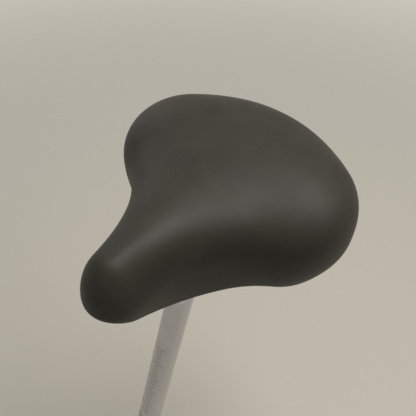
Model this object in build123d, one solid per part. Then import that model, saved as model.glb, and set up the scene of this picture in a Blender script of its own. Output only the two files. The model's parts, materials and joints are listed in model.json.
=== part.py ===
from build123d import *
import os
from math import atan2, cos, degrees, radians, sin, sqrt, tan

# A wide sprung bicycle saddle with its rail clamp and seat post.
# The nose looks along -Y, the rider's left is +X and +Z is up. Lengths are in millimetres.
# The origin is on the post's axis, at its minimum-insertion line. The saddle's own pieces are
# drawn from the centre of the clamp bolt, and then moved onto the post by CLAMP.

# Seat post
SEAT_ANGLE = 71.5  # between the post and the floor, leaning back, in degrees
POST_R = 13.6
POST_WALL = 2.2
POST_LENGTH = 270.0  # straight length of the full diameter
POST_INSERTION = 70.0  # from the lower end up to the minimum-insertion line
POST_EDGE = 0.8
NECK_R = 11.1  # the swaged top that the clamp grips
NECK_LENGTH = 40.0
TAPER_LENGTH = 14.0

# Rail clamp
BOLT_R = 4.0
BOLT_SETBACK = 21.0  # from the post's axis back to the clamp bolt
BOLT_FIT = 0.06
NECK_FIT = 0.03
CORE_R = 17.0
CORE_HALF = 15.0
CORE_WALL = 4.0
CORE_LENGTH = 30.0
CORE_SLIT = 3.0
TOOTH_COUNT = 24
TOOTH_DEPTH = 0.8
TOOTH_RING = 5.0
CHEEK_GAP = 0.15  # between a cheek and the toothed face it turns on
CHEEK_PART = 0.2  # half of the slit between an inner and an outer cheek
CHEEK_LENGTH = 38.0
CHEEK_BAR = 13.0  # height of the bar that holds the rail
CHEEK_CAP = 7.5  # thickness of an outer cheek
CHEEK_EDGE = 1.5
NUT_FLAT = 13.0
NUT_HEIGHT = 6.5
NUT_FACE_R = 6.2  # where the cone that turns off its corners meets its top
NUT_SLOPE = 30.0  # of that cone, in degrees
WASHER_R = 9.0
WASHER_THICK = 1.6
BOLT_PROUD = 2.5
BOLT_EDGE = 0.6  # chamfer on the ends of bolts and screws

# Rails
RAIL_R = 3.5
RAIL_FIT = 0.1
RAIL_HALF = 22.0  # half of the rails' spacing in the clamp
RAIL_RISE = 13.0  # of the rails' centres over the clamp bolt
RAIL_CORNER = 48.0  # from the clamp bolt to the corner at each end of the straight run
RAIL_BEND = 16.0
RAIL_TIP_HALF = 5.8
RAIL_TIP_OUT = 9.0  # straight length of a tip behind the nose block
RAIL_SOCKET = 16.0  # how far a tip goes into the nose block
EYE_R = 11.0
EYE_THICK = 7.6
EYE_LEAD = 28.0  # level run of a rail before its eye's centre

# Cushion, in plan: five circles that run into each other
AHEAD = 131.3  # nose tip before the clamp bolt
NOSE_R = 25.9
WING_R = 62.6
WING_HALF = 55.2  # wing circle's centre from the centre line
WING_BACK = 46.9  # wing circle's centre behind the clamp bolt
REAR_R = 156.5
WAIST_R = 112.4

# Cushion, in side view: heights over the hem at the rear, which stands HEM_RISE over the bolt
HEM_RISE = 34.0
HEM_WING = -6.5
HEM_WAIST = -10.5
HEM_NOSE = 30.5
CREST_REAR = 85.2
CREST_WING = 86.4
CREST_WAIST = 83.2
CREST_NOSE = 72.8
CREST_ROUND = 10.0
WING_PLACE = 50.0  # where HEM_WING and CREST_WING are, behind the bolt
WAIST_PLACE = 32.0  # where HEM_WAIST and CREST_WAIST are, before the bolt
LEVELS = (  # height at the rear, height at the nose, inset at the nose, inset at the wings
    (-13.0, 18.0, 8.5, 19.0),
    (6.0, 27.0, 3.5, 7.5),
    (27.0, 37.0, 0.0, 0.0),
    (52.0, 57.0, 4.2, 2.5),
    (70.0, 68.0, 10.0, 12.0),
    (80.0, 76.0, 13.5, 26.0),
    (88.0, 84.0, 17.0, 42.0),
)

# Moulded base under the cushion
BASE_NOSE_INSET = 9.5  # from the cushion's widest line to the base's wall
BASE_WING_INSET = 15.5
BASE_RECESS = 1.5
BASE_DEPTH = 24.0
BASE_WALL = 2.6
CUSHION_FIT = 0.3
RIB_THICK = 2.5
RIB_DEPTH = 8.0
CROSS_RIBS = (-60.0, -26.0, 8.0, 42.0)  # places behind the clamp bolt
LONG_RIB_HALF = 19.0
LONG_RIB_FORE = 60.0
LONG_RIB_REAR = 60.0

# Rear springs
SPRING_HALF = 50.0
SPRING_BACK = 80.0
SPRING_R = 14.0
SPRING_WIRE_R = 2.0
SPRING_TURNS = 5.5
SPRING_BASE = -6.0  # cross plate's top face, over the clamp bolt
SPRING_GRIND = 1.2  # ground off the wire where it meets a cup
SPRING_FIT = 0.3
BOSS_R = 21.0
BOSS_FACE = 43.0
CUP_THICK = 2.0
CUP_RIM = 4.5
CUP_WALL = 1.8
CUP_ROOM = 1.0  # around an upper cup, in the base's wall
PLATE_THICK = 2.5
PLATE_R = 21.0
PLATE_HALF = 13.0  # half of its width between the springs
PLATE_SLOT = 6.0
PLATE_SLOT_HALF = 18.0
FLANGE_HALF = 25.0
FLANGE_DROP = 7.0
FLANGE_ROUND = 3.0
STUD_R = 4.0
STUD_FIT = 0.05
STUD_HEAD_R = 8.5
STUD_HEAD = 4.0
STUD_HEAD_ROUND = 2.8
STUD_PROUD = 2.0
STUD_BITE = 8.0  # length of an upper screw in the boss

# Nose block
BLOCK_HALF = 11.0
BLOCK_SETBACK = 54.0  # from the cushion's nose tip back to the block's rear face
BLOCK_LENGTH = 24.0
BLOCK_HEIGHT = 16.0
BLOCK_EDGE = 2.0
TIP_DROP = 9.8  # from the base's underside at the block's rear face down to the rails' tips
SOCKET_FIT = 0.05

REACH = 3 * AHEAD  # past the saddle's ends, for cutting solids
BLOCK_AHEAD = AHEAD - BLOCK_SETBACK
UP = Vector(0, cos(radians(SEAT_ANGLE)), sin(radians(SEAT_ANGLE)))
FORE = Vector(0, -UP.Z, UP.Y)
CORE_TOP = CORE_LENGTH / 2
NECK_FOOT = CORE_TOP - NECK_LENGTH
POST_HEAD = NECK_FOOT - TAPER_LENGTH
POST_FOOT = POST_HEAD - POST_LENGTH
AXIS_POINT = FORE * BOLT_SETBACK
CLAMP = -(AXIS_POINT + UP * (POST_FOOT + POST_INSERTION))
BEHIND = WING_BACK + REAR_R - sqrt((REAR_R - WING_R) ** 2 - WING_HALF**2)


def along_post(shape):
    """Stands a shape drawn up +Z on the post's axis, level with the clamp bolt."""
    return Plane(origin=AXIS_POINT, x_dir=(1, 0, 0), z_dir=UP) * shape


def across(radius, near, far, rise=0.0):
    """A rod along X from near to far, through the clamp bolt's centre or over it."""
    rod = Cylinder(radius, far - near, align=(Align.CENTER, Align.CENTER, Align.MIN))
    return Pos(near, 0, rise) * Rot(0, 90, 0) * rod


def both_sides(piece):
    """The piece and its mirror image in the centre plane, as (left, right)."""
    return piece, mirror(piece, about=Plane.YZ)


def outline(nose_inset, wing_inset):
    """The cushion's plan as a face: nose, two waists, two wings and rear, all tangent arcs."""
    nose, nose_r = Vector(0, NOSE_R - AHEAD), NOSE_R - nose_inset
    wing, wing_r = Vector(WING_HALF, WING_BACK), WING_R - wing_inset
    waist_r, rear_r = WAIST_R + (nose_inset + wing_inset) / 2, REAR_R - wing_inset
    rear = Vector(0, WING_BACK - sqrt((rear_r - wing_r) ** 2 - WING_HALF**2))
    # The waist circle touches the nose and wing circles from outside
    span = wing - nose
    a, b = nose_r + waist_r, wing_r + waist_r
    part = (a**2 - b**2 + span.length**2) / (2 * span.length)
    side = sqrt(a**2 - part**2)
    e = span.normalized()
    waist = nose + e * part + Vector(e.Y, -e.X) * side
    p1 = nose + (waist - nose).normalized() * nose_r
    p2 = wing + (waist - wing).normalized() * wing_r
    p3 = wing + (wing - rear).normalized() * wing_r
    waist_mid = waist + ((p1 + p2) * 0.5 - waist).normalized() * waist_r
    wing_mid = wing + ((p2 - wing) + (p3 - wing)).normalized() * wing_r
    other = [Vector(-p.X, p.Y) for p in (p1, waist_mid, p2, wing_mid, p3)]
    return make_face(
        [
            ThreePointArc(p1, waist_mid, p2),
            ThreePointArc(p2, wing_mid, p3),
            ThreePointArc(p3, rear + Vector(0, rear_r), other[4]),
            ThreePointArc(other[4], other[3], other[2]),
            ThreePointArc(other[2], other[1], other[0]),
            ThreePointArc(other[0], nose - Vector(0, nose_r), p1),
        ]
    )


def base_prism(inset):
    """Everything inside the base's plan, inset from its outer wall."""
    return extrude(outline(BASE_NOSE_INSET + inset, BASE_WING_INSET + inset), REACH, both=True)


def above(line, rise):
    """Everything over a side-view line of two arcs through four points, rearmost first."""
    rear, wing, waist, nose = [Vector(0, y, z + rise) for y, z in line]
    first = ThreePointArc(rear, wing, waist)
    second = TangentArc(waist, nose, tangent=first % 1)
    corners = ((0, -REACH, nose.Z), (0, -REACH, REACH), (0, REACH, REACH), (0, REACH, rear.Z))
    frame = Polyline(nose, *corners, rear)
    return extrude(make_face([first, second, frame]), REACH, both=True)


def side_line(rear, wing, waist, nose):
    """A line's four points, from its heights over the rear hem."""
    places = (BEHIND, WING_PLACE, -WAIST_PLACE, -AHEAD)
    return [(y, HEM_RISE + z) for y, z in zip(places, (rear, wing, waist, nose))]


HEM_LINE = side_line(0, HEM_WING, HEM_WAIST, HEM_NOSE)
CREST_LINE = side_line(CREST_REAR, CREST_WING, CREST_WAIST, CREST_NOSE)
SPRING_AT = (SPRING_HALF, SPRING_BACK)
CUP_R = SPRING_R + SPRING_WIRE_R + SPRING_FIT + CUP_WALL
CHEEK_IN = CORE_HALF + CHEEK_GAP
CHEEK_OUT = RAIL_HALF + CHEEK_PART + CHEEK_CAP
NUT_IN = CHEEK_OUT + WASHER_THICK


def cushion():
    """Foam cushion and its skin: lofted level outlines, cut to both side lines, hollow for the base."""
    length = AHEAD + BEHIND
    sections = []
    for rear_z, nose_z, nose_inset, wing_inset in LEVELS:
        tilt = degrees(atan2(rear_z - nose_z, length))
        middle = HEM_RISE + nose_z + (rear_z - nose_z) * AHEAD / length
        sections.append(Pos(0, 0, middle) * Rot(tilt, 0, 0) * outline(nose_inset, wing_inset))
    body = (loft(sections) & above(HEM_LINE, 0)) - above(CREST_LINE, 0)
    arched = body.faces().filter_by(GeomType.CYLINDER)
    roof = arched.filter_by(lambda f: f.center().Z > HEM_RISE + CREST_NOSE / 2)
    crest = [e for f in roof for e in f.edges() if e.geom_type != GeomType.LINE]
    body = fillet(crest, CREST_ROUND)
    return body - (base_prism(-CUSHION_FIT) - above(HEM_LINE, BASE_DEPTH + CUSHION_FIT))


def base():
    """Moulded tray under the cushion: rim, ribs, and a boss and a bay in the rim for each spring."""
    ceiling = above(HEM_LINE, BASE_DEPTH)
    outside = (base_prism(0) & above(HEM_LINE, BASE_RECESS)) - ceiling
    room = base_prism(BASE_WALL) - above(HEM_LINE, BASE_DEPTH - BASE_WALL)
    tray = outside - room
    ribs = [Pos(0, y, 0) * Box(REACH, RIB_THICK, REACH) for y in CROSS_RIBS]
    long_rib = Box(RIB_THICK, LONG_RIB_FORE + LONG_RIB_REAR, REACH)
    rib_mid = (LONG_RIB_REAR - LONG_RIB_FORE) / 2
    ribs += [Pos(x, rib_mid, 0) * long_rib for x in (-LONG_RIB_HALF, LONG_RIB_HALF)]
    rib_room = outside & above(HEM_LINE, BASE_DEPTH - BASE_WALL - RIB_DEPTH)
    tray += [rib & rib_room for rib in ribs]
    for x in (-SPRING_HALF, SPRING_HALF):
        boss = Cylinder(BOSS_R, REACH, align=(Align.CENTER, Align.CENTER, Align.MIN))
        tray += Pos(x, SPRING_BACK, BOSS_FACE) * boss & outside
    for x in (-SPRING_HALF, SPRING_HALF):
        bay = Cylinder(CUP_R + CUP_ROOM, REACH, align=(Align.CENTER, Align.CENTER, Align.MAX))
        tray -= Pos(x, SPRING_BACK, BOSS_FACE) * (bay + Cylinder(STUD_R + STUD_FIT, 2 * STUD_BITE))
    return tray


def nose_block():
    """Block under the base's nose, with a socket for each rail's tip."""
    ceiling = above(HEM_LINE, BASE_DEPTH - BASE_WALL)
    low = above(HEM_LINE, BASE_DEPTH - BASE_WALL - BLOCK_HEIGHT)
    bar = Pos(0, -BLOCK_AHEAD - BLOCK_LENGTH / 2, 0) * Box(2 * BLOCK_HALF, BLOCK_LENGTH, REACH)
    block = (bar & low & base_prism(BASE_WALL)) - ceiling
    ends = block.edges().filter_by(Axis.X).group_by(Axis.Y)
    block = fillet([end.sort_by(Axis.Z)[0] for end in (ends[0], ends[-1])], BLOCK_EDGE)
    for x in (-RAIL_TIP_HALF, RAIL_TIP_HALF):
        socket = Cylinder(RAIL_R + SOCKET_FIT, RAIL_SOCKET, align=(Align.CENTER, Align.CENTER, Align.MIN))
        block -= Pos(x, -BLOCK_AHEAD, TIP_RISE) * Rot(90, 0, 0) * socket
    return block


def hem_height(y):
    """Height of the hem line before the clamp bolt, where it is the front arc."""
    strip = above(HEM_LINE, 0) & Pos(0, y, 0) * Box(1, 0.01, 2 * REACH)
    return strip.bounding_box().min.Z


TIP_RISE = hem_height(-BLOCK_AHEAD) + BASE_DEPTH - BASE_WALL - TIP_DROP


def rail():
    """Left rail: tip in the nose block, straight run in the clamp, eye under the spring."""
    eye_z = SPRING_BASE - PLATE_THICK - EYE_THICK / 2
    eye = Vector(SPRING_HALF, SPRING_BACK, eye_z)
    rear = Vector(RAIL_HALF, RAIL_CORNER, RAIL_RISE)
    lead = Vector(rear.X - eye.X, rear.Y - eye.Y).normalized()
    path = FilletPolyline(
        Vector(RAIL_TIP_HALF, -BLOCK_AHEAD - RAIL_SOCKET, TIP_RISE),
        Vector(RAIL_TIP_HALF, -BLOCK_AHEAD + RAIL_TIP_OUT, TIP_RISE),
        Vector(RAIL_HALF, -RAIL_CORNER, RAIL_RISE),
        rear,
        eye + lead * EYE_LEAD,
        eye + lead * STUD_R,
        radius=RAIL_BEND,
    )
    wire = sweep(Plane(origin=path @ 0, z_dir=path % 0) * Circle(RAIL_R), path=path)
    ring = Pos(*eye) * Cylinder(EYE_R, EYE_THICK)
    return wire + ring - Pos(*eye) * Cylinder(STUD_R + STUD_FIT, 4 * RAIL_R)


def cross_plate():
    """Pressed strap that carries both springs, slotted between them."""
    top = Sketch() + [Pos(x, SPRING_BACK) * Circle(PLATE_R) for x in (-SPRING_HALF, SPRING_HALF)]
    top += Pos(0, SPRING_BACK) * Rectangle(2 * SPRING_HALF, 2 * PLATE_HALF)
    top -= Pos(0, SPRING_BACK) * SlotOverall(2 * PLATE_SLOT_HALF, 2 * PLATE_SLOT)
    top -= [Pos(x, SPRING_BACK) * Circle(STUD_R + STUD_FIT) for x in (-SPRING_HALF, SPRING_HALF)]
    plate = extrude(top, PLATE_THICK)
    flange = Box(2 * FLANGE_HALF, PLATE_THICK, FLANGE_DROP)
    flange = Pos(0, PLATE_HALF - PLATE_THICK / 2, -FLANGE_DROP / 2) * flange
    flange = fillet(flange.edges().filter_by(Axis.Y).group_by(Axis.Z)[0], FLANGE_ROUND)
    for way in (1, -1):
        plate += Pos(0, SPRING_BACK, 0) * Rot(0, 0, 90 - 90 * way) * flange
    return Pos(0, 0, SPRING_BASE - PLATE_THICK) * plate


def spring():
    """Left coil spring between its cups, with both ends ground flat."""
    low, high = SPRING_BASE + CUP_THICK, BOSS_FACE - CUP_THICK
    rest = SPRING_WIRE_R - SPRING_GRIND
    height = high - low - 2 * rest
    path = Helix(height / SPRING_TURNS, height, SPRING_R)
    wire = sweep(Plane(origin=path @ 0, z_dir=path % 0) * Circle(SPRING_WIRE_R), path=path, is_frenet=True)
    wire = Pos(*SPRING_AT, low + rest) * wire
    return wire & Pos(*SPRING_AT, (low + high) / 2) * Box(4 * SPRING_R, 4 * SPRING_R, high - low)


def cup():
    """Pressed cup that a spring's end stands in, drawn open upwards from its underside."""
    inside = CUP_R - CUP_WALL
    shape = Cylinder(CUP_R, CUP_THICK + CUP_RIM, align=(Align.CENTER, Align.CENTER, Align.MIN))
    shape -= Pos(0, 0, CUP_THICK) * Cylinder(inside, CUP_RIM, align=(Align.CENTER, Align.CENTER, Align.MIN))
    return shape - Cylinder(STUD_R + STUD_FIT, 4 * CUP_THICK)


def stud(length):
    """Domed screw with its head's underside at zero and its shank downwards."""
    head = Cylinder(STUD_HEAD_R, STUD_HEAD, align=(Align.CENTER, Align.CENTER, Align.MIN))
    head = fillet(head.edges().sort_by(Axis.Z)[-1], STUD_HEAD_ROUND)
    shank = Cylinder(STUD_R, length, align=(Align.CENTER, Align.CENTER, Align.MAX))
    return head + chamfer(shank.edges().sort_by(Axis.Z)[0], BOLT_EDGE)


def hex_nut(hole):
    """Hexagon nut standing on zero, with the corners of its top turned off by a cone."""
    body = extrude(RegularPolygon(NUT_FLAT / 2, 6, major_radius=False), NUT_HEIGHT)
    foot_r = NUT_FACE_R + NUT_HEIGHT / tan(radians(NUT_SLOPE))
    body &= Cone(foot_r, NUT_FACE_R, NUT_HEIGHT, align=(Align.CENTER, Align.CENTER, Align.MIN))
    return body - Cylinder(hole, 4 * NUT_HEIGHT)


def post():
    """Seat post: a tube with a swaged neck, revolved about its axis."""
    bore, neck_bore = POST_R - POST_WALL, NECK_R - POST_WALL
    profile = Polyline(
        (bore, POST_FOOT),
        (POST_R - POST_EDGE, POST_FOOT),
        (POST_R, POST_FOOT + POST_EDGE),
        (POST_R, POST_HEAD),
        (NECK_R, NECK_FOOT),
        (NECK_R, CORE_TOP),
        (neck_bore, CORE_TOP),
        (neck_bore, NECK_FOOT),
        (bore, POST_HEAD),
        close=True,
    )
    return along_post(revolve(Plane.XZ * make_face(profile), Axis.Z))


def tooth_ring(face_x, way):
    """Radial grooves cut into a face across X, each a wedge from the ring out to the rim."""
    mouth = way * TOOTH_DEPTH
    section = make_face(Polyline((-way, 0), (mouth, TOOTH_DEPTH), (mouth, -TOOTH_DEPTH), close=True))
    wedge = Pos(0, 0, (TOOTH_RING + CORE_R) / 2 + 1) * extrude(
        section,
        (CORE_R - TOOTH_RING) / 2 + 1,
        both=True,
    )
    turn = 360 / TOOTH_COUNT
    return [Pos(face_x - way * TOOTH_DEPTH, 0, 0) * Rot(i * turn, 0, 0) * wedge for i in range(TOOTH_COUNT)]


def clamp_core():
    """Split ring on the neck with two toothed ears behind it."""
    ring = along_post(Cylinder(NECK_R + NECK_FIT + CORE_WALL, CORE_LENGTH))
    body = ring + across(CORE_R, -CORE_HALF, CORE_HALF)
    body -= along_post(Cylinder(NECK_R + NECK_FIT, REACH))
    slit = Pos(0, CORE_R, 0) * Box(CORE_SLIT, 2 * CORE_R + 2 * BOLT_SETBACK, 4 * CORE_R)
    body -= slit
    body -= across(BOLT_R + BOLT_FIT, -CORE_HALF - 1, CORE_HALF + 1)
    for way in (-1, 1):
        body -= tooth_ring(way * CORE_HALF, way)
    return body


def inner_cheek():
    """Left inner cheek: toothed disc under a bar with half of the rail's groove."""
    top = RAIL_HALF - CHEEK_PART
    bar = Pos((CHEEK_IN + top) / 2, 0, RAIL_RISE) * Box(top - CHEEK_IN, CHEEK_LENGTH, CHEEK_BAR)
    bar = fillet(bar.edges().filter_by(Axis.X), CHEEK_EDGE)
    body = across(CORE_R, CHEEK_IN, top) + bar
    body -= across(BOLT_R + BOLT_FIT, CHEEK_IN - 1, top + 1)
    body -= tooth_ring(CHEEK_IN, -1)
    return body - groove()


def outer_cheek():
    """Left outer cheek: bar over the other half of the rail, and the nut's seat."""
    low = RAIL_HALF + CHEEK_PART
    bar = Pos((low + CHEEK_OUT) / 2, 0, RAIL_RISE) * Box(CHEEK_CAP, CHEEK_LENGTH, CHEEK_BAR)
    bar = fillet(bar.edges().filter_by(Axis.X), CHEEK_EDGE)
    body = across(WASHER_R + CHEEK_EDGE, low, CHEEK_OUT) + bar
    body -= across(BOLT_R + BOLT_FIT, low - 1, CHEEK_OUT + 1)
    return body - groove()


def groove():
    """The room that the left rail's straight run takes in the cheeks."""
    return Pos(RAIL_HALF, 0, RAIL_RISE) * Rot(90, 0, 0) * Cylinder(RAIL_R + RAIL_FIT, 2 * CHEEK_LENGTH)


def pieces():
    """Every piece by name, placed about the clamp bolt."""
    made = {"seat_post": post(), "clamp_core": clamp_core(), "cushion": cushion(), "base": base()}
    made["nose_block"] = nose_block()
    made["cross_plate"] = cross_plate()
    reach = NUT_IN + NUT_HEIGHT + BOLT_PROUD
    rod = across(BOLT_R, -reach, reach)
    made["clamp_bolt"] = chamfer(rod.edges().filter_by(GeomType.CIRCLE), BOLT_EDGE)
    washer = across(WASHER_R, CHEEK_OUT, NUT_IN) - across(BOLT_R + BOLT_FIT, CHEEK_OUT - 1, NUT_IN + 1)
    spring_top = BOSS_FACE - CUP_THICK
    eye_foot = SPRING_BASE - PLATE_THICK - EYE_THICK
    bolt = stud(SPRING_BASE + CUP_THICK - eye_foot + NUT_HEIGHT + STUD_PROUD)
    lefts = {
        "inner_cheek": inner_cheek(),
        "outer_cheek": outer_cheek(),
        "clamp_washer": washer,
        "clamp_nut": Pos(NUT_IN, 0, 0) * Rot(0, 90, 0) * hex_nut(BOLT_R + BOLT_FIT),
        "rail": rail(),
        "spring": spring(),
        "lower_cup": Pos(*SPRING_AT, SPRING_BASE) * cup(),
        "upper_cup": Pos(*SPRING_AT, BOSS_FACE) * Rot(180, 0, 0) * cup(),
        "spring_bolt": Pos(*SPRING_AT, SPRING_BASE + CUP_THICK) * bolt,
        "spring_nut": Pos(*SPRING_AT, eye_foot) * Rot(180, 0, 0) * hex_nut(STUD_R + STUD_FIT),
        "spring_screw": Pos(*SPRING_AT, spring_top) * Rot(180, 0, 0) * stud(CUP_THICK + STUD_BITE),
    }
    for name, piece in lefts.items():
        made[name + "_left"], made[name + "_right"] = both_sides(piece)
    return made


if __name__ == "__main__":
    os.makedirs("parts", exist_ok=True)
    for name, piece in pieces().items():
        export_step(Pos(*CLAMP) * piece, f"parts/{name}.step")
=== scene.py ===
import json
import math

import bmesh
import bpy
import numpy as np
from mathutils import Matrix, Vector


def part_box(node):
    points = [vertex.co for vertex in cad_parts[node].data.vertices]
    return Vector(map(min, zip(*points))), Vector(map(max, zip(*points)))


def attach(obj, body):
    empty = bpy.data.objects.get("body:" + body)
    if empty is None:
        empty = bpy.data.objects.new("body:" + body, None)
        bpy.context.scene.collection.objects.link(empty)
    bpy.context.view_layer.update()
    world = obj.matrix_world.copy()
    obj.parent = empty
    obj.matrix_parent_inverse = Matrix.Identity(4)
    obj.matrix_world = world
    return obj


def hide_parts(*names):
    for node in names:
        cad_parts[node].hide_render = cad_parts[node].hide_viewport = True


# A wide sprung bicycle saddle on its seat post, dressed over the CAD model.
# Lengths are in metres, in the model's own frame: the nose looks along -Y, the rider's left is +X
# and +Z is up.

# Camera, as the photograph was taken: in front of the saddle and to the rider's left, looking down
# and back. Its angles are in radians
IMAGE_SIZE = 416
FOCAL_PIXELS = 462.3
SENSOR_MM = 36.0
CAMERA_PLACE = Vector((0.1659, -0.1166, 0.5921))
CAMERA_YAW = 0.9254
CAMERA_PITCH = 0.8421
CAMERA_ROLL = 0.0316

# Cushion in plan: nose, waist, wing and rear circles that run into each other. It and what is
# fixed to it are measured from the middle of the clamp bolt
NOSE_AHEAD = 0.1054  # nose circle's centre before the clamp bolt
NOSE_R = 0.0259
WING_HALF = 0.0552
WING_BACK = 0.0469
WING_R = 0.0626
REAR_R = 0.1565
WAIST_R = 0.1124

# Cushion in side view: heights over the rear hem, at the rear, the wings, the waist and the nose
HEM_RISE = 0.034  # rear hem over the clamp bolt
SIDE_PLACES = (0.050, -0.032)  # the wings' and the waist's places, behind the clamp bolt
CREST = (0.0860, 0.0840, 0.0803, 0.0724)
HEM = (0.0, -0.0065, -0.0105, 0.0305)

# Rounding of the shoulder and tuck of the hem. Each row is (share of the length from the rear, size)
ROUND_IN = ((0.0, 0.0625), (0.3, 0.0622), (0.68, 0.0602), (1.0, 0.0270))
ROUND_DOWN = ((0.0, 0.0578), (0.3, 0.0567), (0.68, 0.0428), (1.0, 0.0396))
ROUND_POWER = ((0.0, 2.82), (0.3, 3.00), (0.68, 2.37), (1.0, 1.73))  # 2 is an ellipse, more is squarer
ROUND_ROOM = 0.92  # share of the half width that the shoulder has room in
FLANK_WIDER = 1.69  # how much wider the shoulder is at the flanks than at the rear
FLANK_RUN = 0.084  # from the rear's edge to where it is that wide
TUCK = ((0.0, 0.0125), (0.3, 0.0125), (0.68, 0.0042), (1.0, 0.0070))

# Underside of the cushion, which fits over the base
BASE_NOSE_INSET = 0.0095
BASE_WING_INSET = 0.0155
BASE_DEPTH = 0.024
BASE_FIT = 0.0003
HEM_ROUND = 0.0030

# Mesh of the cushion's left half: columns from nose to rear, and rows from the middle of the room
# for the base out and down its wall, round the hem, up the skirt and over the top to the spine,
# a line in the centre plane that the rows meet in
COLUMNS = 84
ROOM_ROWS = 3
WALL_SHARES = (0.0, 0.06, 0.5, 0.9)  # of the room's depth, from its ceiling
HEM_SHARES = (0.03, 0.2, 0.5, 0.8, 0.97)  # of the way from the wall out to the skirt
SKIRT_ROWS = 9
SKIRT_START = 0.06  # share of the skirt's height at its first row
TOP_ROWS = 22
TOP_SPREAD = 1.15  # over 1 draws the rows towards the edge
SPINE_FORE = 0.004  # from the nose circle's centre back to the spine
SPINE_REAR = 0.058  # from the rear's edge forward to the spine
ARC_POINTS = 200  # on each arc of the plan
PLAN_POINTS = 1200  # on the plan that distances are taken to

# Vinyl's turned-in edge. Each row of its section is (inset from the base's wall, height over the
# hem, looseness)
EDGE_COLUMNS = 260
EDGE_SEED = 5
GATHER_STEP = 0.0045
GATHER_DEPTH = 0.0009
GATHER_RAGGED = 0.0006
EDGE_SECTION = (
    (-0.0012, 0.0006, 0.0),
    (-0.0002, 0.0006, 0.0),
    (0.0013, 0.0001, 0.0),
    (0.0029, 0.0004, 0.1),
    (0.0037, 0.0018, 0.2),
    (0.0038, 0.0050, 0.6),
    (0.0037, 0.0086, 1.0),
    (0.0031, 0.0088, 1.0),
    (0.0028, 0.0050, 0.2),
    (0.0027, 0.0020, 0.0),
    (0.0024, 0.0013, 0.0),
    (-0.0002, 0.0013, 0.0),
    (-0.0012, 0.0012, 0.0),
)
SPRING_PLACE = (0.050, 0.080)  # a spring's axis, from the clamp bolt
SPRING_ROOM = 0.020  # radius round it in which the edge is trimmed low
TRIM_RUN = 0.010  # over which it rises again
TRIM_LOW = 0.35  # share of its height that is left
TINY = 1e-9  # keeps a division from zero

# Staples in the turned-in edge
STAPLE_SEED = 11
STAPLE_POINTS = 600  # on the line that they stand along
STAPLE_INSET = 0.0044
STAPLE_FIRST = 0.030
STAPLE_STEP = 0.021
STAPLE_DRIFT = 0.002  # most that one is off its place
STAPLE_LEAN = 0.0005  # most that an end is up or down
STAPLE_HALF = 0.0048
STAPLE_LEG = 0.0012
STAPLE_CORNER = (0.0001, 0.0006)  # where the bend at a leg starts and ends, along the crown
STAPLE_CROWN = 0.3  # how far the crown stands in from its legs' bends, as a share of a leg
STAPLE_RISE = 0.0052
STAPLE_WIRE = 0.00038
WIRE_SIDES = 6

# Bolts and screws, each turned about Z
SIDES = 48
STEP_GAP = 0.0001  # between the two loops of a step
ACROSS = Matrix.Rotation(math.pi / 2, 4, "Y")  # lays the clamp's bolt along X
SHARP_ANGLE = math.radians(40.0)
THREAD_R = 0.004
THREAD_PITCH = 0.00125
THREAD_STEPS = 8  # loops in a pitch
THREAD_SLOPE = 1.25  # over 1 leaves a flat crest and root
THREAD_DEPTH = 0.00065
THREAD_LENGTH = 0.006
THREAD_TIP = 0.0006  # plain tip past the thread
TIP_RISE = 0.3  # height of its chamfer, and how far in that goes, as shares of it
TIP_IN = 0.6
DOME_R = 0.0085
DOME_HEIGHT = 0.004
DOME_ROUND = 0.0028
DOME_STEPS = 6
SCREW_SUNK = 0.001  # foot of the washer face, inside the nose block
SCREW_WASHER_R = 0.0048
SCREW_WASHER = 0.0008
SCREW_HEAD_R = 0.0038
SCREW_HEAD = 0.0021
SCREW_FLAT = 0.72  # top of the pan head, as a share of its radius
SCREW_TURN = (0.2, math.pi / 2, 6)  # the head's curve: its start and end in radians, and its loops
SCREW_RECESS = 0.0014
CROSS_HALF = 0.00045
CROSS_REACH = 0.0020
CROSS_MOUTH = 1.02  # the recess at the head's face and at its foot, as shares of its size
CROSS_FOOT = 0.55
SCREW_AHEAD = 0.0895  # nose screw's place before the clamp bolt
BLOCK_RISE = 0.0054  # nose block's underside over the hem
SLOPE_REACH = 0.002  # each way from the screw, for the hem's slope there

# Seat post, whose axis runs through the origin at the insertion line. Height marks stand above
# that line, and hatching below it
SEAT_ANGLE = math.radians(71.5)
POST_UP = (0.0, math.cos(SEAT_ANGLE), math.sin(SEAT_ANGLE))
POST_FORE = (0.0, -math.sin(SEAT_ANGLE), math.cos(SEAT_ANGLE))
TICK_STEP = 0.005
TICK_WIDTH = 0.0007
TICK_SHORT = 0.28  # half of a mark's turn round the post, in radians
TICK_LONG = 0.5  # the same for every fifth mark
TICK_GROUP = 5
SCALE_TOP = 0.130
HATCH_HEIGHT = 0.006
HATCH_COUNT = 40
HATCH_WIDTH = 0.4  # share of a step
MARK_COVER = 0.9  # how well the marks' ink covers
MARK_INK = (0.05, 0.05, 0.055)

# Colours of the finishes, each as linear red, green and blue
VINYL = (0.0243, 0.0226, 0.0168)
VINYL_DARK = (0.0214, 0.0199, 0.0149)
VINYL_LIGHT = (0.0287, 0.0266, 0.0198)
DUST = (0.060, 0.055, 0.048)
PLASTIC = (0.016, 0.016, 0.017)
PLASTIC_DARK = (0.012, 0.012, 0.013)
PLASTIC_LIGHT = (0.024, 0.024, 0.025)
ZINC = (0.55, 0.55, 0.56)
ZINC_COOL = (0.42, 0.43, 0.45)
ZINC_WARM = (0.66, 0.65, 0.62)
ALLOY = (0.6, 0.6, 0.62)
ALLOY_DARK = (0.52, 0.52, 0.54)
ALLOY_LIGHT = (0.66, 0.66, 0.67)
PAINTS = (  # slot, colour, roughness, scale of the orange peel
    ("frame_black", (0.014, 0.014, 0.015), 0.3, 700.0),
    ("spring_black", (0.012, 0.012, 0.013), 0.24, 900.0),
    ("cup_steel", (0.016, 0.016, 0.017), 0.32, 800.0),
    ("clamp_steel", (0.02, 0.02, 0.021), 0.36, 600.0),
)

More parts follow.
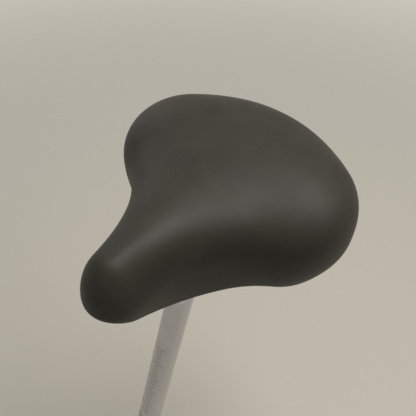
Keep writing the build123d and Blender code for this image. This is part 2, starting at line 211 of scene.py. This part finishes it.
# Room
FLOOR_BELOW_HEM = 0.7155
FLOOR_REACH = 30.0
FLOOR_FADE = (0.5, 2.6)  # from the origin: where its colour starts and ends turning to the backdrop's
FLOOR_COLOUR = (0.80, 0.76, 0.665)
BACKDROP = (0.60, 0.57, 0.505)
FILL = (0.06, 0.06, 0.06)  # the world's light on the model
LAMP_AIM = Vector((0.0, 0.05, 0.3))
LAMPS = (  # name, place, size, power, colour
    ("ceiling", (0.16, 0.46, 1.88), (0.95, 0.95), 23.0, (1.0, 0.97, 0.92)),
    ("window", (0.87, 0.53, 1.54), (0.9, 0.9), 8.5, (1.0, 0.97, 0.92)),
    ("side", (-1.35, 0.44, 0.97), (0.9, 0.9), 2.2, (0.93, 0.97, 1.0)),
)


def arc_height(centre, point, y):
    """Height at y of the arc about centre that runs through point."""
    radius = np.hypot(*(point - centre))
    rise = np.sqrt(np.maximum(radius**2 - (y - centre[0]) ** 2, 0.0))
    return centre[1] + np.sign(point[1] - centre[1]) * rise


def side_line(heights, back, front, y):
    """Height at y of a line in side view: an arc through three points, and one from it to the nose."""
    rear, wing, waist, nose = (np.array(p) for p in zip((back, *SIDE_PLACES, front), heights))
    chords = np.array((wing - rear, waist - rear))
    first = rear + np.linalg.solve(2.0 * chords, (chords**2).sum(1))
    normal = (first - waist) / np.hypot(*(first - waist))
    ahead = nose - waist
    second = waist + normal * (ahead @ ahead) / (2.0 * (normal @ ahead))
    return np.where(y > waist[0], arc_height(first, waist, y), arc_height(second, nose, y))


def eased(rows, share):
    """Size at a share, which runs from row to row with a level start and end to each step."""
    places, sizes = (np.array(c) for c in zip(*rows))
    i = np.clip(np.searchsorted(places, share, side="right") - 1, 0, len(places) - 2)
    t = (share - places[i]) / (places[i + 1] - places[i])
    t = np.clip(t, 0.0, 1.0)
    return sizes[i] + (sizes[i + 1] - sizes[i]) * t * t * (3.0 - 2.0 * t)


def run_along(line):
    """Length of a line up to each of its points."""
    return np.concatenate([[0.0], np.cumsum(np.hypot(*np.diff(line, axis=0).T))])


def plan(count, nose_inset=0.0, wing_inset=0.0):
    """Evenly spaced points of the left half of the cushion's plan, from the nose's tip to the middle
    of the rear. The insets draw it in at the nose, and at the wings and the rear."""
    nose_r, wing_r, rear_r = NOSE_R - nose_inset, WING_R - wing_inset, REAR_R - wing_inset
    waist_r = WAIST_R + (nose_inset + wing_inset) / 2.0
    nose = np.array((0.0, -NOSE_AHEAD))
    wing = np.array((WING_HALF, WING_BACK))
    rear = np.array((0.0, WING_BACK - math.sqrt((rear_r - wing_r) ** 2 - WING_HALF**2)))
    span = wing - nose
    length = np.hypot(*span)
    to_nose, to_wing = nose_r + waist_r, wing_r + waist_r
    part = (to_nose**2 - to_wing**2 + length**2) / (2.0 * length)
    unit = span / length
    waist = nose + unit * part + np.array((unit[1], -unit[0])) * math.sqrt(to_nose**2 - part**2)

    def heading(vector):
        return math.atan2(vector[1], vector[0])

    nose_end = heading(waist - nose)
    waist_ends = heading(nose - waist), heading(wing - waist)
    wing_ends = heading(waist - wing), heading(wing - rear)
    arcs = (
        (nose, nose_r, -math.pi / 2, nose_end),
        (waist, waist_r, waist_ends[0] % (2 * math.pi), waist_ends[1] % (2 * math.pi)),
        (wing, wing_r, wing_ends[0], wing_ends[1]),
        (rear, rear_r, wing_ends[1], math.pi / 2),
    )
    fine = []
    for centre, radius, start, end in arcs:
        angles = np.linspace(start, end, ARC_POINTS)
        fine.append(centre + radius * np.stack([np.cos(angles), np.sin(angles)], 1))
    fine = np.concatenate(fine)
    run = run_along(fine)
    at = np.linspace(0.0, run[-1], count)
    return np.stack([np.interp(at, run, side) for side in fine.T], 1)


def edge_distance(points, outline):
    """Distance of each point from the plan's outline, both halves."""
    both = np.concatenate([outline, outline * (-1.0, 1.0)])
    return np.sqrt(((points[:, None, :] - both[None]) ** 2).sum(2)).min(1)


class Form:
    """The cushion's surface as heights over its plan, from the clamp bolt."""

    def __init__(self):
        self.fine = plan(PLAN_POINTS)
        self.back = self.fine[:, 1].max()
        self.front = self.fine[:, 1].min()

    def share(self, y):
        """How far forward y is, from 0 at the rear to 1 at the nose."""
        return np.clip((self.back - y) / (self.back - self.front), 0.0, 1.0)

    def reach(self, y):
        """Half of the plan's width at y."""
        return np.interp(y, self.fine[:, 1], self.fine[:, 0])

    def hem(self, y):
        """Height of the cushion's lower edge at y."""
        return HEM_RISE + side_line(HEM, self.back, self.front, y)

    def crest(self, y):
        """Height of the top's middle at y."""
        return HEM_RISE + side_line(CREST, self.back, self.front, y)

    def top(self, points):
        """Height of the top at points inside the plan."""
        y = points[:, 1]
        u = self.share(y)
        flank = eased(((0.0, 0.0), (1.0, 1.0)), (self.back - y) / FLANK_RUN)
        room = ROUND_ROOM * np.maximum(self.reach(y), NOSE_R)
        room = np.maximum(room, ROUND_IN[0][1] * (1.0 - flank))
        width = eased(ROUND_IN, u) * (1.0 + (FLANK_WIDER - 1.0) * flank)
        width = (width**-4 + room**-4) ** -0.25  # runs smoothly into the smaller of the two
        d = np.clip(edge_distance(points, self.fine) / width, 0.0, 1.0)
        power = eased(ROUND_POWER, u)
        drop = 1.0 - (1.0 - (1.0 - d) ** power) ** (1.0 / power)
        return self.crest(y) - eased(ROUND_DOWN, u) * drop


def cushion_rows(form):
    """Rows of the cushion's left half, each with a point for each column."""
    outline = plan(COLUMNS)
    tangent = np.gradient(outline, axis=0)
    tangent[0] = (1.0, 0.0)
    tangent[-1] = (-1.0, 0.0)
    tangent /= np.hypot(*tangent.T)[:, None]
    inward = np.stack([-tangent[:, 1], tangent[:, 0]], 1)
    u = form.share(outline[:, 1])
    along = np.linspace(0.0, 1.0, COLUMNS)
    spine_front = -NOSE_AHEAD + SPINE_FORE
    spine_rear = form.back - SPINE_REAR
    spine = np.stack([np.zeros(COLUMNS), spine_front + (spine_rear - spine_front) * along], 1)

    rows = []
    # Room for the base, from its middle out to its wall, then down to the hem
    wall = plan(COLUMNS, BASE_NOSE_INSET - BASE_FIT, BASE_WING_INSET - BASE_FIT)
    for t in np.linspace(0.0, 1.0, ROOM_ROWS + 1)[:-1]:
        flat = spine + (wall - spine) * t
        rows.append(np.column_stack([flat, form.hem(flat[:, 1]) + BASE_DEPTH + BASE_FIT]))
    for t in WALL_SHARES:
        rows.append(np.column_stack([wall, form.hem(wall[:, 1]) + (BASE_DEPTH + BASE_FIT) * (1.0 - t)]))
    # Round hem, half of its height above the hem's line and half below
    tuck = eased(TUCK, u)
    outer = outline + inward * tuck[:, None]
    for t in HEM_SHARES:
        flat = wall + (outer - wall) * t
        drop = HEM_ROUND * (math.sin(math.pi * t) - 0.5)
        rows.append(np.column_stack([flat, form.hem(flat[:, 1]) - drop]))
    # Skirt up to the widest line
    hem = form.hem(outer[:, 1])
    widest = form.crest(outline[:, 1]) - eased(ROUND_DOWN, u)
    for t in np.linspace(SKIRT_START, 1.0, SKIRT_ROWS):
        ring = outline + inward * (tuck * (1.0 - t) ** 2)[:, None]
        rows.append(np.column_stack([ring, hem + (widest - hem) * t]))
    # Shoulder and top, in to the spine
    for t in np.linspace(0.0, 1.0, TOP_ROWS + 1)[1:]:
        flat = outline + (spine - outline) * (1.0 - math.cos(t * math.pi / 2)) ** TOP_SPREAD
        rows.append(np.column_stack([flat, form.top(flat)]))
    return np.array(rows)


def both_halves(rows, ring=False):
    """Points and quads of a closed skin from rows of its left half, whose first and last columns
    lie in the centre plane. The first and last rows lie there too, or else, in a ring, they meet."""
    row_count, count = rows.shape[:2]
    points, index = [], {}

    def vertex(row, column, side):
        row %= row_count
        p = rows[row, column]
        middle = column in (0, count - 1) or (not ring and row in (0, row_count - 1))
        key = (row, column, 1 if middle else side)
        if key not in index:
            index[key] = len(points)
            x = 0.0 if middle else p[0] * side
            points.append((x, p[1], p[2]))
        return index[key]

    quads = []
    for side in (1, -1):
        for row in range(row_count if ring else row_count - 1):
            for column in range(count - 1):
                quad = [
                    vertex(row, column, side),
                    vertex(row, column + 1, side),
                    vertex(row + 1, column + 1, side),
                    vertex(row + 1, column, side),
                ]
                quads.append(quad if side == 1 else quad[::-1])
    return points, quads


def cover_edge_rows(form):
    """Rows of the vinyl's edge, turned in under the base's rim and up inside it, and gathered where
    it is loose."""
    wall = plan(EDGE_COLUMNS, BASE_NOSE_INSET, BASE_WING_INSET)
    run = run_along(wall)
    rng = np.random.default_rng(EDGE_SEED)
    knots = np.arange(0.0, run[-1] + 2 * GATHER_STEP, GATHER_STEP)
    gather = np.interp(run, knots, rng.uniform(-1.0, 1.0, len(knots)))
    ragged = np.interp(run, knots[::2], rng.uniform(-1.0, 1.0, len(knots[::2])))
    trim = np.clip((np.hypot(*(wall - SPRING_PLACE).T) - SPRING_ROOM) / TRIM_RUN, TRIM_LOW, 1.0)
    rows = []
    for inset, rise, loose in EDGE_SECTION:
        ring = plan(EDGE_COLUMNS, BASE_NOSE_INSET + inset, BASE_WING_INSET + inset)
        away = ring - wall
        away /= np.maximum(np.hypot(*away.T), TINY)[:, None]
        if inset < 0:
            away = -away
        pulled = GATHER_DEPTH * loose * trim * np.maximum(gather, 0.0)
        flat = ring + away * pulled[:, None]
        z = form.hem(flat[:, 1]) + rise * trim + GATHER_RAGGED * loose * trim * ragged
        rows.append(np.column_stack([flat, z]))
    return np.array(rows)


def skin(loops, sides):
    """Quads between loops of points, and a face on the first and the last of them."""
    faces = []
    for i in range(loops - 1):
        for k in range(sides):
            low, high = i * sides, (i + 1) * sides
            faces.append([low + k, low + (k + 1) % sides, high + (k + 1) % sides, high + k])
    faces.append(list(range(sides))[::-1])
    faces.append([(loops - 1) * sides + k for k in range(sides)])
    return faces


def wire(path):
    """Points and faces of a staple's wire along a short path."""
    path = [Vector(p) for p in path]
    points = []
    for i, centre in enumerate(path):
        ahead = (path[min(i + 1, len(path) - 1)] - path[max(i - 1, 0)]).normalized()
        first = ahead.cross(Vector((0.0, 0.0, 1.0))).normalized()
        second = ahead.cross(first)
        for k in range(WIRE_SIDES):
            angle = 2.0 * math.pi * k / WIRE_SIDES
            points.append(centre + (first * math.cos(angle) + second * math.sin(angle)) * STAPLE_WIRE)
    return points, skin(len(path), WIRE_SIDES)


def staples(form):
    """Wire staples that hold the vinyl's edge inside the rim, on both sides."""
    line = plan(STAPLE_POINTS, BASE_NOSE_INSET + STAPLE_INSET, BASE_WING_INSET + STAPLE_INSET)
    run = run_along(line)
    rng = np.random.default_rng(STAPLE_SEED)
    points, faces = [], []
    for place in np.arange(STAPLE_FIRST, run[-1], STAPLE_STEP):
        place += rng.uniform(-STAPLE_DRIFT, STAPLE_DRIFT)
        lean = rng.uniform(-STAPLE_LEAN, STAPLE_LEAN)
        legs = place + np.array((-STAPLE_HALF, STAPLE_HALF))
        one, other = np.column_stack([np.interp(legs, run, side) for side in line.T])
        if np.hypot(*(one - SPRING_PLACE)) < SPRING_ROOM + TRIM_RUN:
            continue
        along = (other - one) / np.linalg.norm(other - one)
        out = np.array((along[1], -along[0])) * STAPLE_LEG
        start, end = (along * reach for reach in STAPLE_CORNER)
        crown = out * STAPLE_CROWN
        flat = [one + out, one + start, one + end - crown]
        flat += [other - end - crown, other - start, other + out]
        tilts = [-lean] * 3 + [lean] * 3
        heights = [form.hem(p[1]) + STAPLE_RISE + tilt for p, tilt in zip(flat, tilts)]
        for side in (1.0, -1.0):
            more, quads = wire([(side * p[0], p[1], h) for p, h in zip(flat, heights)])
            faces += [[i + len(points) for i in quad] for quad in quads]
            points += more
    return points, faces


def turned(loops):
    """Points and faces of a piece turned about Z. Each loop is (height, radius), and its radius is
    one number or an array with one for each side."""
    points = []
    for z, radius in loops:
        for k, r in enumerate(np.broadcast_to(radius, SIDES)):
            angle = 2.0 * math.pi * k / SIDES
            points.append((r * math.cos(angle), r * math.sin(angle), z))
    return points, skin(len(loops), SIDES)


def threaded_end(tip):
    """Loops of a bolt's threaded end, up to its tip."""
    start = tip - THREAD_LENGTH
    turn = np.arange(SIDES) / SIDES
    root = THREAD_R - THREAD_DEPTH
    loops = []
    for z in np.arange(0.0, THREAD_LENGTH - THREAD_TIP, THREAD_PITCH / THREAD_STEPS):
        wave = np.abs(((z / THREAD_PITCH - turn) % 1.0) - 0.5) * 2.0
        groove = np.clip(THREAD_SLOPE * wave - (THREAD_SLOPE - 1.0) / 2.0, 0.0, 1.0)
        loops.append((start + z, THREAD_R - THREAD_DEPTH * groove))
    loops.append((start + THREAD_LENGTH - TIP_RISE * THREAD_TIP, root))
    loops.append((start + THREAD_LENGTH, root - TIP_IN * THREAD_TIP))
    return loops


def clamp_bolt():
    """The clamp's bolt. One end is the other turned end over end, so both threads run alike."""
    half = threaded_end(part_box("clamp_bolt")[1].x)
    other = [(-z, np.roll(np.broadcast_to(r, SIDES)[::-1], 1)) for z, r in half[::-1]]
    return turned(other + half)


def spring_bolt(node):
    """A domed bolt down through a spring's cup, with its thread at the foot and its head's
    underside at zero."""
    low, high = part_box(node)
    loops = [(-z, r) for z, r in threaded_end(high.z - low.z - DOME_HEIGHT)[::-1]]
    loops += [(-STEP_GAP, THREAD_R), (0.0, DOME_R)]
    for step in range(DOME_STEPS + 1):
        angle = math.pi / 2 * step / DOME_STEPS
        radius = DOME_R - DOME_ROUND * (1.0 - math.cos(angle))
        loops.append((DOME_HEIGHT - DOME_ROUND * (1.0 - math.sin(angle)), radius))
    return turned(loops)


def cross_screw():
    """Pan-head screw with a washer face and a cross recess, head upwards."""
    angle = 2.0 * math.pi * np.arange(SIDES) / SIDES
    off_axis = np.minimum(np.abs(np.sin(angle)), np.abs(np.cos(angle)))
    cross = CROSS_HALF / np.maximum(off_axis, CROSS_HALF / CROSS_REACH)
    face = SCREW_WASHER + STEP_GAP
    loops = [(z, SCREW_WASHER_R) for z in (-SCREW_SUNK, 0.0, SCREW_WASHER)]
    loops.append((face, SCREW_HEAD_R))
    for a in np.linspace(*SCREW_TURN):
        radius = SCREW_HEAD_R * (SCREW_FLAT + (1.0 - SCREW_FLAT) * math.cos(a))
        loops.append((face + SCREW_HEAD * math.sin(a), radius))
    top = face + SCREW_HEAD
    loops += [(top, cross * CROSS_MOUTH), (top - STEP_GAP, cross)]
    loops.append((top - SCREW_RECESS, cross * CROSS_FOOT))
    return turned(loops)


def middle(node):
    """Middle of a CAD node's box."""
    low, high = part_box(node)
    return (low + high) / 2.0


def add_mesh(name, points, faces, place):
    """Adds a smooth piece, whose points the matrix place lays in the model's frame."""
    mesh = bpy.data.meshes.new(name)
    mesh.from_pydata([tuple(p) for p in points], [], faces)
    mesh.transform(place)
    mesh.validate()
    shaped = bmesh.new()
    shaped.from_mesh(mesh)
    bmesh.ops.recalc_face_normals(shaped, faces=shaped.faces)
    shaped.to_mesh(mesh)
    shaped.free()
    for face in mesh.polygons:
        face.use_smooth = True
    piece = bpy.data.objects.new(name, mesh)
    bpy.context.scene.collection.objects.link(piece)
    return piece


def subdivide(piece):
    """Rounds a piece by one level of subdivision."""
    smooth = piece.modifiers.new("smooth", "SUBSURF")
    smooth.levels = 1
    smooth.render_levels = 1


def sharpen(piece):
    """Shades a piece with its sharp edges kept."""
    bpy.context.view_layer.objects.active = piece
    piece.select_set(True)
    bpy.ops.object.shade_smooth_by_angle(angle=SHARP_ANGLE)
    piece.select_set(False)


def add_node(tree, kind, inputs=(), **settings):
    """Adds a node. Its inputs are pairs: a socket's name or number, and a value or another node's
    output."""
    node = tree.nodes.new(kind)
    for key, value in settings.items():
        setattr(node, key, value)
    for key, value in inputs:
        if isinstance(value, bpy.types.NodeSocket):
            tree.links.new(value, node.inputs[key])
        else:
            node.inputs[key].default_value = value
    return node


def seen_directly(tree):
    """1 for the camera's rays and for those that gloss or glass sends on, or else 0."""
    path = add_node(tree, "ShaderNodeLightPath").outputs
    seen = path["Is Camera Ray"]
    for kind in ("Is Glossy Ray", "Is Transmission Ray"):
        inputs = [(0, seen), (1, path[kind])]
        seen = add_node(tree, "ShaderNodeMath", inputs, operation="MAXIMUM").outputs[0]
    return seen


class Finish:
    """A material. Its patterns are laid in the model's own metres, so they move with the piece."""

    def __init__(self, name, colour, roughness, metallic=0.0, specular=0.5):
        self.made = bpy.data.materials.new(name)
        self.made.use_nodes = True
        self.tree = self.made.node_tree
        self.shader = self.tree.nodes["Principled BSDF"]
        self.shader.inputs["Base Color"].default_value = (*colour, 1.0)
        self.shader.inputs["Roughness"].default_value = roughness
        self.shader.inputs["Metallic"].default_value = metallic
        self.shader.inputs["Specular IOR Level"].default_value = specular
        self.place = self.add("ShaderNodeTexCoord").outputs["Object"]
        self.normal = None

    def add(self, kind, inputs=(), **settings):
        return add_node(self.tree, kind, inputs, **settings)

    def calculate(self, operation, *values):
        return self.add("ShaderNodeMath", enumerate(values), operation=operation).outputs[0]

    def noise(self, scale, detail=3.0, stretch=(1.0, 1.0, 1.0)):
        """Soft noise from 0 to 1, with about that many features in a metre."""
        where = self.add("ShaderNodeMapping", [("Vector", self.place), ("Scale", stretch)]).outputs[0]
        inputs = [("Vector", where), ("Scale", scale), ("Detail", detail)]
        return self.add("ShaderNodeTexNoise", inputs).outputs["Fac"]

    def pebbles(self, scale):
        """Rounded cells, about that many in a metre, as the distance from each one's middle."""
        inputs = [("Vector", self.place), ("Scale", scale)]
        return self.add("ShaderNodeTexVoronoi", inputs, feature="SMOOTH_F1").outputs["Distance"]

    def along(self, direction):
        """Distance from the origin along a direction."""
        inputs = [(0, self.place), (1, direction)]
        return self.add("ShaderNodeVectorMath", inputs, operation="DOT_PRODUCT").outputs["Value"]

    def spread(self, value, start, stop, low=0.0, high=1.0):
        """Turns start to stop into low to high, and holds it there."""
        inputs = [("Value", value), ("From Min", start), ("From Max", stop)]
        inputs += [("To Min", low), ("To Max", high)]
        return self.add("ShaderNodeMapRange", inputs).outputs["Result"]

    def between(self, share, first, second):
        """Mixes two colours, of which the first may be another node's."""
        if not isinstance(first, bpy.types.NodeSocket):
            first = (*first, 1.0)
        inputs = [("Factor", share), ("A", first), ("B", (*second, 1.0))]
        return self.add("ShaderNodeMix", inputs, data_type="RGBA").outputs["Result"]

    def colour(self, socket):
        self.tree.links.new(socket, self.shader.inputs["Base Color"])

    def roughness(self, socket):
        self.tree.links.new(socket, self.shader.inputs["Roughness"])

    def soften(self, radius):
        """Rounds sharp edges in the shading, before any bump is added."""
        self.normal = self.add("ShaderNodeBevel", [("Radius", radius)], samples=6).outputs[0]
        self.tree.links.new(self.normal, self.shader.inputs["Normal"])

    def bump(self, height, depth, strength):
        """Adds relief. Depth is its full size, and strength the share of it that shows."""
        inputs = [("Height", height), ("Distance", depth), ("Strength", strength)]
        if self.normal:
            inputs.append(("Normal", self.normal))
        self.normal = self.add("ShaderNodeBump", inputs).outputs[0]
        self.tree.links.new(self.normal, self.shader.inputs["Normal"])


def leatherette():
    """Satin vinyl: pebbled grain with finer pores, a little dust, and a sheen that varies."""
    vinyl = Finish("cushion_vinyl", VINYL, 0.52, specular=0.28)
    clouds = vinyl.noise(38.0, detail=5.0)
    specks = vinyl.noise(900.0, detail=2.0)
    shade = vinyl.between(vinyl.spread(clouds, 0.35, 0.68), VINYL_DARK, VINYL_LIGHT)
    dusty = vinyl.spread(clouds, 0.5, 0.7)
    dust = vinyl.calculate("MULTIPLY", vinyl.spread(specks, 0.62, 0.75, 0.0, 0.5), dusty)
    vinyl.colour(vinyl.between(dust, shade, DUST))
    vinyl.roughness(vinyl.spread(vinyl.noise(14.0), 0.3, 0.7, 0.48, 0.56))
    vinyl.bump(vinyl.pebbles(1050.0), depth=0.00022, strength=0.45)
    vinyl.bump(vinyl.noise(3200.0, detail=2.0), depth=0.00004, strength=0.5)
    return vinyl.made


def moulded_plastic():
    """Black polypropylene with a spark-eroded texture and faint flow marks."""
    plastic = Finish("base_plastic", PLASTIC, 0.5)
    plastic.soften(0.0004)
    flow = plastic.noise(30.0, detail=4.0, stretch=(1.0, 0.35, 1.0))
    plastic.colour(plastic.between(flow, PLASTIC_DARK, PLASTIC_LIGHT))
    plastic.roughness(plastic.spread(flow, 0.3, 0.7, 0.42, 0.58))
    plastic.bump(plastic.noise(1800.0), depth=0.00008, strength=0.6)
    return plastic.made


def paint(name, colour, rough, grain):
    """Powder coat: orange peel, softened edges and a film of dust."""
    coat = Finish(name, colour, rough)
    coat.soften(0.0005)
    patches = coat.noise(55.0, detail=4.0)
    dusty = tuple(3.0 * c + 0.01 for c in colour)
    coat.colour(coat.between(coat.spread(patches, 0.45, 0.8, 0.0, 0.5), colour, dusty))
    coat.roughness(coat.spread(patches, 0.3, 0.7, rough - 0.06, rough + 0.1))
    coat.bump(coat.noise(grain, detail=2.0), depth=0.00012, strength=0.5)
    return coat.made


def zinc_plate():
    """Bright zinc on small fasteners, with fine marks from the tool."""
    zinc = Finish("fastener_zinc", ZINC, 0.3, metallic=1.0)
    zinc.soften(0.0003)
    tarnish = zinc.noise(260.0, detail=4.0)
    zinc.colour(zinc.between(tarnish, ZINC_COOL, ZINC_WARM))
    zinc.roughness(zinc.spread(tarnish, 0.3, 0.7, 0.22, 0.42))
    zinc.bump(zinc.noise(1500.0, detail=2.0, stretch=(1.0, 0.2, 1.0)), depth=0.00003, strength=0.6)
    return zinc.made


def height_marks(alloy, height, turn):
    """1 on the post's height marks, which are lines across its front, or else 0."""
    step = alloy.calculate("FRACT", alloy.calculate("DIVIDE", height, TICK_STEP))
    on_line = alloy.calculate("LESS_THAN", step, TICK_WIDTH / TICK_STEP)
    group = alloy.calculate("FRACT", alloy.calculate("DIVIDE", height, TICK_GROUP * TICK_STEP))
    longer = alloy.calculate("LESS_THAN", group, 0.5 / TICK_GROUP)  # half a step, so one mark of five
    reach = alloy.calculate("MULTIPLY_ADD", longer, TICK_LONG - TICK_SHORT, TICK_SHORT)
    sideways = alloy.calculate("ABSOLUTE", turn)
    marks = alloy.calculate("MULTIPLY", alloy.calculate("LESS_THAN", sideways, reach), on_line)
    above = alloy.calculate("GREATER_THAN", height, HATCH_HEIGHT)
    below = alloy.calculate("LESS_THAN", height, SCALE_TOP)
    return alloy.calculate("MULTIPLY", marks, alloy.calculate("MULTIPLY", above, below))


def hatching(alloy, height, turn):
    """1 on the hatching all round the post, from the insertion line down, or else 0."""
    bars = alloy.calculate("FRACT", alloy.calculate("MULTIPLY", turn, HATCH_COUNT / (2.0 * math.pi)))
    on_bar = alloy.calculate("LESS_THAN", bars, HATCH_WIDTH)
    below = alloy.calculate("LESS_THAN", height, 0.0)
    above = alloy.calculate("GREATER_THAN", height, -HATCH_HEIGHT)
    return alloy.calculate("MULTIPLY", on_bar, alloy.calculate("MULTIPLY", below, above))


def post_metal():
    """Satin alloy tube, turned round its axis, with height marks and an insertion line's hatching."""
    alloy = Finish("post_alloy", ALLOY, 0.3, metallic=1.0)
    alloy.soften(0.0004)
    height = alloy.along(POST_UP)
    turn = alloy.calculate("ARCTAN2", alloy.along((1.0, 0.0, 0.0)), alloy.along(POST_FORE))
    clouds = alloy.noise(24.0, detail=4.0)
    shade = alloy.between(clouds, ALLOY_DARK, ALLOY_LIGHT)
    marks = alloy.calculate("MAXIMUM", height_marks(alloy, height, turn), hatching(alloy, height, turn))
    alloy.colour(alloy.between(alloy.calculate("MULTIPLY", marks, MARK_COVER), shade, MARK_INK))
    scuffs = alloy.noise(500.0, stretch=(1.0, 0.04, 0.04))
    smooth = alloy.spread(clouds, 0.3, 0.7, 0.2, 0.34)
    alloy.roughness(alloy.calculate("ADD", smooth, alloy.spread(scuffs, 0.55, 0.8, 0.0, 0.16)))
    inputs = [("W", height), ("Scale", 2600.0), ("Detail", 3.0)]
    lines = alloy.add("ShaderNodeTexNoise", inputs, noise_dimensions="1D").outputs["Fac"]
    alloy.bump(lines, depth=0.00002, strength=0.8)
    return alloy.made


def make_camera():
    """The photograph's camera. Yaw and pitch turn its line of sight, and roll turns the image about
    that line."""
    sight = Vector(
        (
            -math.cos(CAMERA_YAW) * math.cos(CAMERA_PITCH),
            math.sin(CAMERA_YAW) * math.cos(CAMERA_PITCH),
            -math.sin(CAMERA_PITCH),
        )
    )
    right = sight.cross(Vector((0.0, 0.0, 1.0))).normalized()
    up = right.cross(sight)
    turned_right = math.cos(CAMERA_ROLL) * right + math.sin(CAMERA_ROLL) * up
    turned_up = -math.sin(CAMERA_ROLL) * right + math.cos(CAMERA_ROLL) * up
    data = bpy.data.cameras.new("camera")
    data.sensor_width = SENSOR_MM
    data.lens = FOCAL_PIXELS / IMAGE_SIZE * SENSOR_MM
    data.clip_start = 0.01
    camera = bpy.data.objects.new("camera", data)
    turn = Matrix((turned_right, turned_up, -sight)).transposed()
    camera.matrix_world = Matrix.Translation(CAMERA_PLACE) @ turn.to_4x4()
    bpy.context.scene.collection.objects.link(camera)
    bpy.context.scene.camera = camera


def make_floor(level):
    """A pale floor that runs into the backdrop's colour."""
    mesh = bpy.data.meshes.new("floor")
    sides = ((-1, -1), (1, -1), (1, 1), (-1, 1))
    corners = [(x * FLOOR_REACH, y * FLOOR_REACH, level) for x, y in sides]
    mesh.from_pydata(corners, [], [(0, 1, 2, 3)])
    floor = bpy.data.objects.new("floor", mesh)
    bpy.context.scene.collection.objects.link(floor)
    ground = Finish("floor_pale", FLOOR_COLOUR, 0.8, specular=0.2)
    away = ground.add("ShaderNodeVectorMath", [(0, ground.place)], operation="LENGTH").outputs["Value"]
    share = ground.calculate("MULTIPLY", ground.spread(away, *FLOOR_FADE), seen_directly(ground.tree))
    glow = ground.add("ShaderNodeEmission", [("Color", (*BACKDROP, 1.0))]).outputs[0]
    inputs = [(0, share), (1, ground.shader.outputs[0]), (2, glow)]
    mix = ground.add("ShaderNodeMixShader", inputs).outputs[0]
    ground.tree.links.new(mix, ground.tree.nodes["Material Output"].inputs["Surface"])
    mesh.materials.append(ground.made)


def make_backdrop():
    """A world that shows the backdrop's colour and lights the model with the fill's."""
    world = bpy.data.worlds.new("world")
    bpy.context.scene.world = world
    world.use_nodes = True
    tree = world.node_tree
    tree.nodes.clear()
    fill = add_node(tree, "ShaderNodeBackground", [("Color", (*FILL, 1.0))]).outputs[0]
    shown = add_node(tree, "ShaderNodeBackground", [("Color", (*BACKDROP, 1.0))]).outputs[0]
    inputs = [(0, seen_directly(tree)), (1, fill), (2, shown)]
    mix = add_node(tree, "ShaderNodeMixShader", inputs).outputs[0]
    add_node(tree, "ShaderNodeOutputWorld", [("Surface", mix)])


def make_lamps():
    """Soft lamps, each aimed at the model."""
    for name, place, size, power, colour in LAMPS:
        data = bpy.data.lights.new(name, "AREA")
        data.shape = "RECTANGLE"
        data.size, data.size_y = size
        data.energy = power
        data.color = colour
        lamp = bpy.data.objects.new(name, data)
        lamp.location = place
        lamp.rotation_euler = (LAMP_AIM - Vector(place)).to_track_quat("-Z", "Y").to_euler()
        bpy.context.scene.collection.objects.link(lamp)


def fasteners(form, at_bolt):
    """Fasteners in the order they are added: name, mesh, body, node that it replaces, place."""
    yield "clamp_bolt_threaded", clamp_bolt(), "cradle", "clamp_bolt", at_bolt @ ACROSS
    for side in ("left", "right"):
        node = f"spring_bolt_{side}"
        seat = Matrix.Translation((*middle(node).xy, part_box(node)[1].z - DOME_HEIGHT))
        yield f"{node}_threaded", spring_bolt(node), "saddle", node, seat
    fore, here, aft = form.hem(-SCREW_AHEAD + np.array((-SLOPE_REACH, 0.0, SLOPE_REACH)))
    slope = math.atan((aft - fore) / (2.0 * SLOPE_REACH))
    at_screw = at_bolt @ Matrix.Translation((0.0, -SCREW_AHEAD, here + BLOCK_RISE))
    head_down = Matrix.Rotation(math.pi + slope, 4, "X")
    yield "nose_screw", cross_screw(), "saddle", None, at_screw @ head_down
    yield "cover_staples", staples(form), "saddle", None, at_bolt


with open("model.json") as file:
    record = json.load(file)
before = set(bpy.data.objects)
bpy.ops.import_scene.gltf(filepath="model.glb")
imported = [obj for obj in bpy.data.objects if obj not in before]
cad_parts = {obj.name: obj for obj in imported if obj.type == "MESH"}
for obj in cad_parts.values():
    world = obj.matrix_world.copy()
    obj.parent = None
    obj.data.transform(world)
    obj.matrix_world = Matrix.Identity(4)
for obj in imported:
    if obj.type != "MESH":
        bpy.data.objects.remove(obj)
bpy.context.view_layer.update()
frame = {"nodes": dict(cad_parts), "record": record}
bpy.context.scene.view_settings.view_transform = "Standard"

form = Form()
bolt = middle("clamp_bolt")
at_bolt = Matrix.Translation(bolt)
vinyl = leatherette()
zinc = zinc_plate()
cushion = add_mesh("cushion_skin", *both_halves(cushion_rows(form)), at_bolt)
subdivide(cushion)
cushion.data.materials.append(vinyl)
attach(cushion, "saddle")
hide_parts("cushion")

edge = add_mesh("cushion_turned_edge", *both_halves(cover_edge_rows(form), ring=True), at_bolt)
subdivide(edge)
edge.data.materials.append(vinyl)
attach(edge, "saddle")

for name, made, body, node, place in fasteners(form, at_bolt):
    piece = add_mesh(name, *made, place)
    sharpen(piece)
    piece.data.materials.append(zinc)
    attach(piece, body)
    if node:
        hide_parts(node)

finishes = {"base_plastic": moulded_plastic()}
finishes |= {name: paint(name, *look) for name, *look in PAINTS}
finishes |= {"fastener_zinc": zinc, "post_alloy": post_metal()}
for part in frame["record"]["subparts"]:
    if part["material_slot"] in finishes:
        piece = frame["nodes"][part["node"]]
        piece.data.materials.clear()
        piece.data.materials.append(finishes[part["material_slot"]])

make_camera()
make_floor(bolt.z + HEM_RISE - FLOOR_BELOW_HEM)
make_backdrop()
make_lamps()
